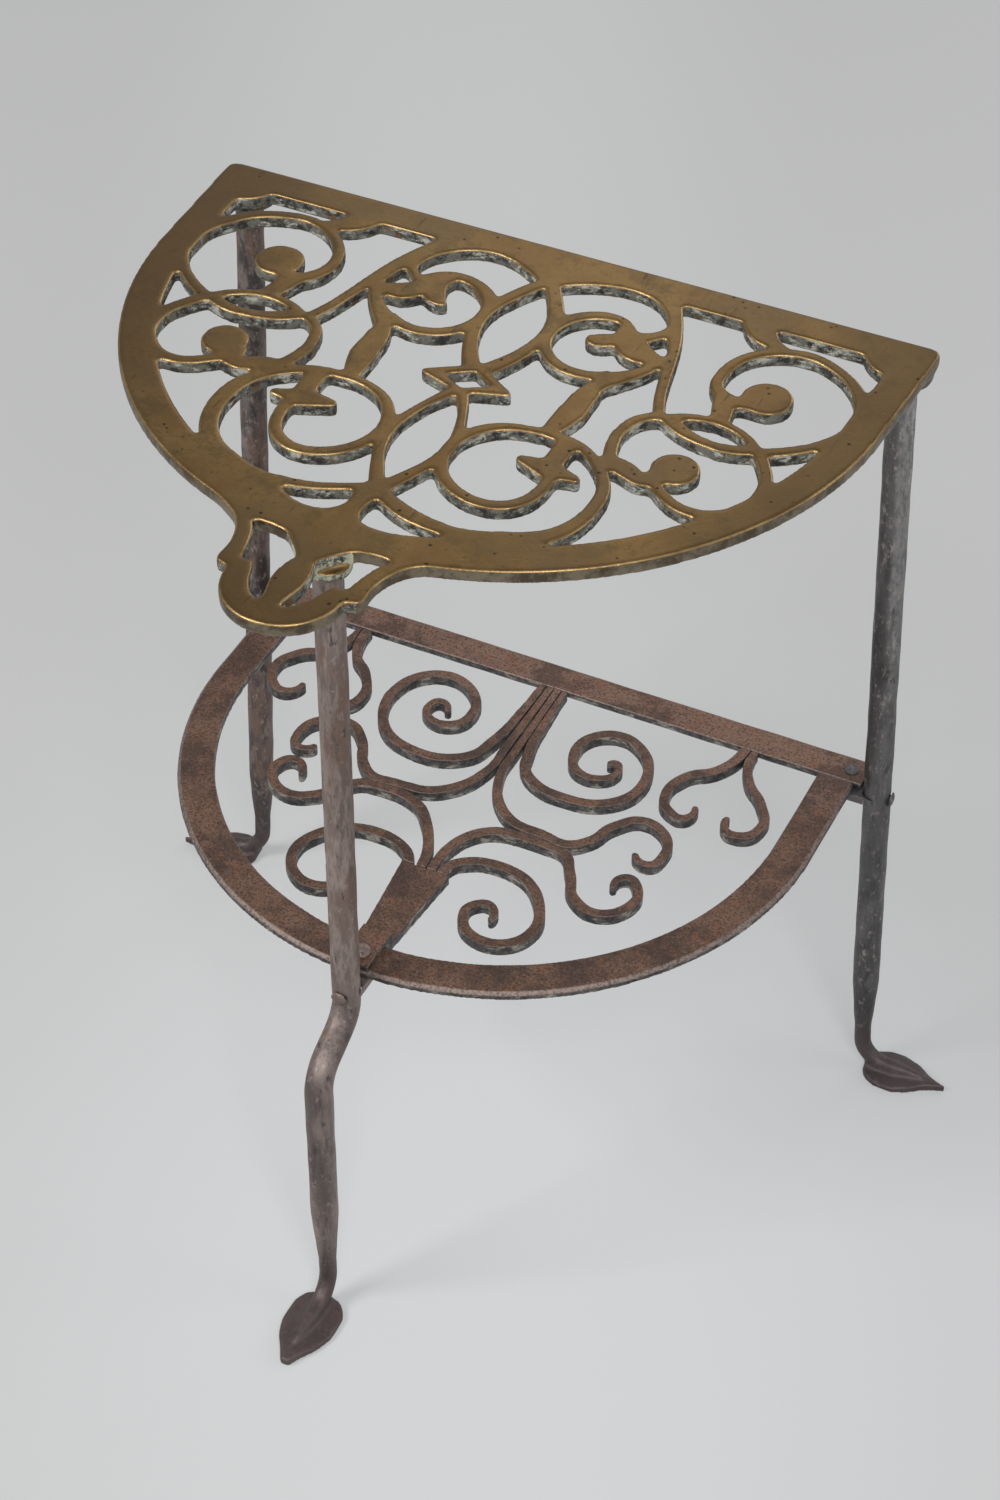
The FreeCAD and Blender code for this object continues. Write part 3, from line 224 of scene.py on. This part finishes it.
class Shader:
    """A node material and short ways to add to it. Masks run from 0 to 1.

    x, y and z are the place on the object. right and up say how far the surface faces those
    ways: up is 1 on top, 0 on the walls and -1 below.
    """

    def __init__(self, name):
        self.material = bpy.data.materials.new(name)
        self.material.use_nodes = True
        self.tree = self.material.node_tree
        self.surface = self.tree.nodes["Principled BSDF"]
        self.places = self.add("ShaderNodeTexCoord").outputs["Object"]
        self.x, self.y, self.z = self.split(self.places)
        normals = self.add("ShaderNodeNewGeometry").outputs["Normal"]
        self.right, _, self.up = self.split(normals)

    def add(self, kind, **settings):
        node = self.tree.nodes.new(kind)
        for key, value in settings.items():
            setattr(node, key, value)
        return node

    def link(self, value, socket):
        """Links an output to the socket, or sets the socket to a plain value."""
        if isinstance(value, bpy.types.NodeSocket):
            self.tree.links.new(value, socket)
        else:
            socket.default_value = value

    def split(self, vector):
        node = self.add("ShaderNodeSeparateXYZ")
        self.link(vector, node.inputs[0])
        return tuple(node.outputs)

    def math(self, operation, one, two=0.0):
        node = self.add("ShaderNodeMath", operation=operation)
        self.link(one, node.inputs[0])
        self.link(two, node.inputs[1])
        return node.outputs[0]

    def plus(self, one, two):
        return self.math("ADD", one, two)

    def times(self, one, two):
        return self.math("MULTIPLY", one, two)

    def either(self, *masks):
        """1 where any of the masks is 1."""
        total = masks[0]
        for mask in masks[1:]:
            total = self.math("MAXIMUM", total, mask)
        return total

    def opposite(self, mask):
        return self.math("SUBTRACT", 1.0, mask)

    def over(self, value, limit):
        return self.math("GREATER_THAN", value, limit)

    def under(self, value, limit):
        return self.math("LESS_THAN", value, limit)

    def ramp(self, value, low, high, start=0.0, end=1.0):
        """The value mapped smoothly from one range to another."""
        node = self.add("ShaderNodeMapRange", interpolation_type="SMOOTHSTEP")
        self.link(value, node.inputs["Value"])
        node.inputs["From Min"].default_value = low
        node.inputs["From Max"].default_value = high
        node.inputs["To Min"].default_value = start
        node.inputs["To Max"].default_value = end
        return node.outputs[0]

    def mix(self, share, one, two):
        """A colour between two others."""
        node = self.add("ShaderNodeMix", data_type="RGBA")
        first_color, second_color = node.inputs[6:8]
        self.link(share, node.inputs[0])
        self.link(rgba(one), first_color)
        self.link(rgba(two), second_color)
        return node.outputs[2]

    def coat(self, color, *coats):
        """The colour under coats of (mask, colour), the last one on top."""
        for mask, coat in coats:
            color = self.mix(mask, color, coat)
        return color

    def noise(self, per_metre, detail=4, roughness=0.6, stretch=(1, 1, 1), seed=0):
        """Cloudy noise, about 0.25 to 0.75, with so many features to a metre."""
        mapping = self.add("ShaderNodeMapping")
        self.link(self.places, mapping.inputs["Vector"])
        mapping.inputs["Location"].default_value = (seed, seed, seed)
        mapping.inputs["Scale"].default_value = stretch
        node = self.add("ShaderNodeTexNoise")
        self.link(mapping.outputs[0], node.inputs["Vector"])
        node.inputs["Scale"].default_value = per_metre
        node.inputs["Detail"].default_value = detail
        node.inputs["Roughness"].default_value = roughness
        return node.outputs[0]

    def patches(self, low, high, most=1.0, **look):
        """A mask of noise patches, which rises from 0 to most between two noise levels."""
        return self.ramp(self.noise(**look), low, high, 0.0, most)

    def distance(self, x, y):
        """Length of the plan vector with these parts."""
        return self.math("SQRT", self.plus(self.times(x, x), self.times(y, y)))

    def cells(self, per_metre):
        """Distance from scattered points, for pits."""
        node = self.add("ShaderNodeTexVoronoi")
        self.link(self.places, node.inputs["Vector"])
        node.inputs["Scale"].default_value = per_metre
        return node.outputs["Distance"]

    def finish(self, color, metallic, roughness, height, depth):
        """The finished material, with bumps of the given depth."""
        self.link(color, self.surface.inputs["Base Color"])
        self.link(metallic, self.surface.inputs["Metallic"])
        self.link(roughness, self.surface.inputs["Roughness"])
        bump = self.add("ShaderNodeBump")
        bump.inputs["Distance"].default_value = depth
        self.link(height, bump.inputs["Height"])
        self.link(bump.outputs[0], self.surface.inputs["Normal"])
        return self.material


def rgba(value):
    """A plain colour with its alpha, or an output as it is."""
    if isinstance(value, tuple):
        return (*value, 1.0)
    return value


def outer_wall(s):
    """1 on the outer sides of the top and of its handle, 0 in the openings."""
    skin = 1.5 * MM
    side_skin = 5 * MM
    side_flare = 2.3 * MM
    side_run = 48.5 * MM
    body_depth = 186 * MM
    handle_offset = 3.5 * MM
    neck_half_width = 24.6 * MM
    loop_radius = 21 * MM
    loop_skin = 19 * MM
    low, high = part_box("brass_top")
    front_arc = s.distance(s.x, s.math("SUBTRACT", s.y, high.y - side_run))
    on_body = s.either(
        s.over(s.math("ABSOLUTE", s.x), high.x - side_skin),
        s.over(s.y, high.y - skin),
        s.over(front_arc, high.x - side_flare - skin))
    handle_x = s.plus(s.x, handle_offset)
    loop_arc = s.distance(handle_x, s.math("SUBTRACT", s.y, low.y + loop_radius))
    on_loop = s.times(s.over(loop_arc, loop_skin), s.under(s.y, low.y + loop_skin))
    on_neck = s.over(s.math("ABSOLUTE", handle_x), neck_half_width)
    handle = s.under(s.y, high.y - body_depth)
    return s.either(
        s.times(on_body, s.opposite(handle)),
        s.times(handle, s.either(on_neck, on_loop)))


def painted_front_and_side_shade(s):
    """Painted shade: darker over the front half, handle included, and towards the top's two side
    corners, leaving the centre back brighter.
    """
    corners = s.ramp(s.math("ABSOLUTE", s.x), 80 * MM, 125 * MM, 0.0, 0.75)
    handle = s.ramp(s.y, -92 * MM, -72 * MM, 0.65, 0.0)
    return s.either(corners, handle)


def crust(s):
    """Patches of pale verdigris round the front leg's boss."""
    leg_radius = 6 * MM
    leg_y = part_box("front_leg")[1].y - leg_radius
    away = s.distance(s.x, s.math("SUBTRACT", s.y, leg_y))
    near = s.ramp(away, 10 * MM, 17 * MM, 1.0, 0.0)
    return s.times(near, s.patches(0.44, 0.54, per_metre=280, detail=5, roughness=0.7, seed=61))


def brass_face(s, clouds, fine, pits):
    """Polished faces with stains, painted shade at the front and side corners, dark pits and
    scratches.
    """
    stains = s.patches(0.48, 0.62, 0.75, per_metre=75, detail=6, roughness=0.75, seed=41)
    browned = s.patches(0.50, 0.64, per_metre=16, detail=3, seed=21)
    sparse = s.patches(0.52, 0.60, per_metre=70, detail=3, seed=8)
    scratches = s.patches(0.66, 0.70, 0.6, per_metre=260, detail=3, stretch=(1, 0.12, 1), seed=51)
    face = s.mix(s.ramp(clouds, 0.36, 0.64), BRASS["face_shade"], BRASS["face_light"])
    return s.coat(
        s.mix(s.ramp(fine, 0.34, 0.50), BRASS["face_grain"], face),
        (stains, BRASS["stain"]),
        (browned, BRASS["browned"]),
        (painted_front_and_side_shade(s), BRASS["painted_front_shade"]),
        (s.times(s.opposite(pits), sparse), BRASS["pit"]),
        (scratches, BRASS["scratch"]))


def brass_wall(s, outer):
    """Grimy walls in the openings, with pale crust, and plain ones outside and below."""
    soot = s.patches(0.42, 0.58, per_metre=210, detail=6, roughness=0.75, seed=5)
    pale = s.patches(0.50, 0.62, 0.85, per_metre=150, detail=6, roughness=0.75,
                     stretch=(1, 1, 2), seed=11)
    brown = s.patches(0.57, 0.7, per_metre=90, roughness=0.7, seed=17)
    grime = s.coat(
        s.mix(soot, BRASS["grime_dark"], BRASS["grime_grey"]),
        (pale, BRASS["grime_pale"]),
        (brown, BRASS["grime_brown"]),
        (crust(s), BRASS["verdigris"]))
    clouds = s.patches(0.38, 0.62, per_metre=130, detail=5, roughness=0.7, seed=31)
    plain = s.mix(clouds, BRASS["wall_shade"], BRASS["wall_light"])
    below = s.ramp(s.up, -0.5, -0.2, 1.0, 0.0)
    return s.coat(grime, (outer, plain), (below, plain))


def aged_brass():
    """Hand-polished brass: brown-gold faces, bright edges, grimy walls in the openings."""
    s = Shader("aged_brass")
    clouds = s.noise(per_metre=38)
    fine = s.noise(per_metre=420, roughness=0.7, seed=3)
    pits = s.ramp(s.cells(240), 0.08, 0.22)
    outer = outer_wall(s)
    top = s.ramp(s.up, 0.90, 0.985)
    wall = s.ramp(s.up, 0.15, 0.55, 1.0, 0.0)
    edge = s.mix(s.ramp(clouds, 0.38, 0.60), BRASS["edge_shade"], BRASS["edge_light"])
    color = s.coat(edge, (top, brass_face(s, clouds, fine, pits)), (wall, brass_wall(s, outer)))
    dirty = s.times(wall, s.opposite(outer))
    metallic = s.ramp(dirty, 0.0, 1.0, 1.0, 0.35)
    roughness = s.plus(s.ramp(top, 0.0, 1.0, 0.36, 0.28), s.ramp(dirty, 0.0, 1.0, 0.0, 0.42))
    roughness = s.plus(roughness, s.ramp(fine, 0.3, 0.7, 0.0, 0.08))
    coarseness = s.plus(1.0, s.times(dirty, 6.0))
    grain = s.times(s.noise(per_metre=700, detail=5, roughness=0.7, seed=2), coarseness)
    height = s.plus(grain, s.times(pits, 0.5))
    return s.finish(color, metallic, roughness, height, 0.045 * MM)


def leg_iron():
    """Worn wrought iron: mauve-grey with rubbed streaks, cooler and darker on the right leg, with
    a painted sheen on its right-facing upper side.
    """
    s = Shader("leg_iron")
    front_leg = s.ramp(s.y, -40 * MM, 0.0, 1.0, 0.0)
    right_leg = s.ramp(s.x, 70 * MM, 110 * MM)
    upper = s.ramp(s.z, 125 * MM, 170 * MM, 0.0, 0.5)
    high = s.ramp(s.z, 160 * MM, 260 * MM)
    clouds = s.noise(per_metre=55, detail=5, roughness=0.65, stretch=(1, 1, 0.3))
    broad = s.ramp(clouds, 0.38, 0.62)
    streaks = s.noise(per_metre=300, roughness=0.65, stretch=(1, 1, 0.18), seed=15)
    speckle = s.noise(per_metre=480, detail=5, roughness=0.75, stretch=(1, 1, 0.5), seed=4)
    flakes = s.patches(0.42, 0.54, 0.9, per_metre=130, detail=5, roughness=0.75,
                       stretch=(1, 1, 0.5), seed=37)
    rust = s.patches(0.5, 0.66, per_metre=70, detail=3, stretch=(1, 1, 0.4), seed=13)
    worn = s.patches(0.56, 0.66, per_metre=160, detail=5, roughness=0.8,
                     stretch=(1, 1, 0.35), seed=19)
    pits = s.patches(0.60, 0.68, 0.7, per_metre=230, roughness=0.7,
                     stretch=(1, 1, 0.4), seed=9)
    rubbed = s.mix(s.ramp(streaks, 0.42, 0.58), LEG["rubbed_shade"], LEG["rubbed_light"])
    warm = s.coat(
        s.mix(broad, LEG["mauve_shade"], LEG["mauve_light"]),
        (s.times(front_leg, upper), rubbed),
        (s.times(flakes, s.opposite(front_leg)), LEG["flake"]),
        (rust, LEG["rust"]))
    # Painted sheen: the right leg's upper part is lighter where it faces to the right.
    painted_sheen = s.mix(s.ramp(speckle, 0.4, 0.56), LEG["painted_sheen_shade"], LEG["painted_sheen_light"])
    cool = s.coat(
        s.mix(broad, LEG["grey_shade"], LEG["grey_light"]),
        (s.times(worn, high), LEG["worn"]),
        (s.times(s.ramp(s.right, 0.1, 0.6, 0.0, 0.55), high), painted_sheen))
    color = s.coat(
        s.mix(right_leg, warm, cool),
        (s.ramp(streaks, 0.50, 0.64, 0.0, 0.45), LEG["streak"]),
        (s.ramp(speckle, 0.54, 0.68, 0.0, 0.8), LEG["fleck"]),
        (pits, LEG["pit"]),
        (s.ramp(s.z, 10 * MM, 45 * MM, 0.8, 0.0), LEG["foot"]))
    roughness = s.ramp(speckle, 0.3, 0.7, 0.40, 0.60)
    height = s.noise(per_metre=380, detail=6, roughness=0.7, stretch=(1, 1, 0.7), seed=6)
    return s.finish(color, 0.5, roughness, height, 0.22 * MM)


def shelf_iron(name, edge_light):
    """Wrought iron with a rusty brown face, rubbed edges and dark walls, and a painted sheen on
    the rear bar.
    """
    s = Shader(name)
    clouds = s.noise(per_metre=60, detail=5, roughness=0.65)
    speckle = s.noise(per_metre=950, detail=5, roughness=0.75, seed=4)
    rust = s.patches(0.53, 0.62, 0.6, per_metre=170, detail=5, roughness=0.75, seed=33)
    stains = s.patches(0.50, 0.60, 0.65, per_metre=48, detail=6, roughness=0.7, seed=43)
    flecks = s.patches(0.6, 0.7, per_metre=900, detail=3, roughness=0.7, seed=12)
    soot = s.patches(0.40, 0.60, per_metre=260, detail=6, roughness=0.8, seed=7)
    scale = s.patches(0.52, 0.62, 0.75, per_metre=110, detail=6, roughness=0.75,
                      stretch=(1, 1, 2.5), seed=27)
    # The faces near the rear are lighter: a painted sheen.
    face = s.coat(
        s.mix(s.ramp(clouds, 0.38, 0.62), SHELF["face_shade"], SHELF["face_light"]),
        (s.ramp(s.y, 80 * MM, 105 * MM, 0.0, 0.6), SHELF["rear"]),
        (rust, SHELF["rust"]),
        (stains, SHELF["stain"]))
    face = s.mix(s.ramp(speckle, 0.33, 0.58), SHELF["speck"], face)
    face = s.mix(flecks, face, SHELF["fleck"])
    edge = s.mix(s.ramp(speckle, 0.35, 0.6), SHELF["edge_shade"], edge_light)
    wall_tone = s.mix(soot, SHELF["wall_shade"], SHELF["wall_light"])
    wall_tone = s.mix(scale, wall_tone, SHELF["scale"])
    top = s.ramp(s.up, 0.80, 0.96)
    wall = s.ramp(s.up, 0.2, 0.6, 1.0, 0.0)
    color = s.coat(edge, (top, face), (wall, wall_tone))
    roughness = s.ramp(speckle, 0.3, 0.7, 0.40, 0.62)
    height = s.noise(per_metre=420, detail=6, roughness=0.75, seed=6)
    return s.finish(color, 0.6, roughness, height, 0.25 * MM)


# The pieces

def dress_all():
    """Dresses every node. Each kind has its finish, slot, wear and first seed."""
    brass = aged_brass()
    legs = leg_iron()
    strips = shelf_iron("shelf_iron", SHELF["strip_edge"])
    bars = shelf_iron("bar_iron", SHELF["bar_edge"])
    scrolls = [f"{bar}_{side}"
               for bar in ("rear_branch", "rear_scroll", "front_branch", "front_scroll",
                           "inner_corner_scroll", "outer_corner_scroll")
               for side in SIDES]
    kinds = (
        (["brass_top"], brass, "brass", CAST_TOP, 1),
        (["front_leg", "left_leg", "right_leg"], legs, "leg_iron", FORGED_LEG, 20),
        (["front_lug", "left_lug", "right_lug"], legs, "leg_iron", SMALL_LUG, 30),
        (["shelf_rim", "shelf_rear_bar"], strips, "shelf_iron", FLAT_STRIP, 40),
        (["front_stem"], bars, "shelf_iron", SHELF_STEM, 45),
        (scrolls, bars, "shelf_iron", SCROLL_BAR, 50),
        (["shelf_rivets", "stem_rivet"], legs, "rivet_iron", RIVET_HEAD, 70),
    )
    for nodes, finish, slot, wear, first_seed in kinds:
        for seed, node in enumerate(nodes, first_seed):
            piece = dress(node, finish, wear, seed)
            if node == "left_leg":
                turn_foot(piece)


# The studio

def looked_at(tree):
    """1 for the rays of the camera, of reflections and of glass, 0 for those that light."""
    rays = tree.nodes.new("ShaderNodeLightPath")
    seen = rays.outputs["Is Camera Ray"]
    for ray in ("Is Glossy Ray", "Is Transmission Ray"):
        either = tree.nodes.new("ShaderNodeMath")
        either.operation = "MAXIMUM"
        tree.links.new(seen, either.inputs[0])
        tree.links.new(rays.outputs[ray], either.inputs[1])
        seen = either.outputs[0]
    return seen


def floor():
    """A pale floor that the camera and reflections see nearly even, with a faint shadow, a
    painted pool of light round the middle, a painted bright band across the view and painted
    shade far away.
    """
    half_size = 6.0
    middle_x = 0.06
    across_view = (0.90, 0.43)
    mesh = bpy.data.meshes.new("floor")
    corners = [(half_size * x, half_size * y, 0)
               for x, y in ((-1, -1), (1, -1), (1, 1), (-1, 1))]
    mesh.from_pydata(corners, [], [(0, 1, 2, 3)])
    ground = bpy.data.objects.new("floor", mesh)
    bpy.context.scene.collection.objects.link(ground)
    s = Shader("pale_paper")
    away = s.distance(s.math("SUBTRACT", s.x, middle_x), s.y)
    across = s.plus(s.times(s.x, across_view[0]), s.times(s.y, across_view[1]))
    band = s.ramp(s.math("ABSOLUTE", across), 0.03, 0.22, 0.3, 0.0)
    # Painted light: brighter round the middle and along a band across the view; painted shade far
    # away.
    tone = s.coat(
        s.mix(s.ramp(away, 0.0, 0.42), FLOOR["near"], FLOOR["around"]),
        (band, FLOOR["band"]),
        (s.ramp(away, 1.1, 2.4), FLOOR["far"]))
    s.link(tone, s.surface.inputs["Base Color"])
    s.surface.inputs["Roughness"].default_value = 0.9
    s.surface.inputs["Specular IOR Level"].default_value = 0.1
    glow = s.add("ShaderNodeEmission")
    s.link(tone, glow.inputs["Color"])
    glow_share = s.times(looked_at(s.tree), s.ramp(away, 0.9, 2.4, 0.45, 1.0))
    blend = s.add("ShaderNodeMixShader")
    s.link(glow_share, blend.inputs[0])
    s.link(s.surface.outputs[0], blend.inputs[1])
    s.link(glow.outputs[0], blend.inputs[2])
    s.link(blend.outputs[0], s.tree.nodes["Material Output"].inputs["Surface"])
    mesh.materials.append(s.material)


def studio_world():
    """A pale world that is brighter to look at than the light it gives."""
    lighting_strength = 0.28
    seen_strength = 0.50
    world = bpy.data.worlds.new("studio")
    bpy.context.scene.world = world
    world.use_nodes = True
    tree = world.node_tree
    background = tree.nodes["Background"]
    background.inputs["Color"].default_value = rgba((0.97, 0.98, 1.0))
    strength = tree.nodes.new("ShaderNodeMapRange")
    tree.links.new(looked_at(tree), strength.inputs["Value"])
    strength.inputs["To Min"].default_value = lighting_strength
    strength.inputs["To Max"].default_value = seen_strength
    tree.links.new(strength.outputs[0], background.inputs["Strength"])


def lamp(name, place, target, size, watts):
    """A square lamp that faces the target."""
    light = bpy.data.lights.new(name, "AREA")
    light.size = size
    light.energy = watts
    holder = bpy.data.objects.new(name, light)
    holder.location = place
    holder.rotation_euler = (Vector(target) - Vector(place)).to_track_quat("-Z", "Y").to_euler()
    bpy.context.scene.collection.objects.link(holder)


def photo_camera():
    """The camera, placed by a fit on the object's outline in the photograph."""
    photo_height_px = 1500
    focal_px = 3240.3
    sensor = 36.0
    right = Vector((0.9005, 0.4349, 0.0018))
    down = Vector((0.2929, -0.6035, -0.7416))
    ahead = Vector((-0.3215, 0.6683, -0.6708))
    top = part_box("brass_top")[1]
    place = Vector((0.4002, top.y - 0.8921, top.z + 0.6442))
    camera = bpy.data.cameras.new("photo_camera")
    camera.sensor_fit = "VERTICAL"
    camera.sensor_height = sensor
    camera.lens = focal_px / photo_height_px * sensor
    camera.clip_start = 0.05
    camera.clip_end = 30
    holder = bpy.data.objects.new("photo_camera", camera)
    turn = Matrix((right, -down, -ahead)).transposed()
    holder.matrix_world = Matrix.Translation(place) @ turn.to_4x4()
    bpy.context.scene.collection.objects.link(holder)
    bpy.context.scene.camera = holder


photo_camera()
floor()
studio_world()
for settings in LAMPS:
    lamp(*settings)
bpy.context.scene.view_settings.view_transform = "Standard"
dress_all()
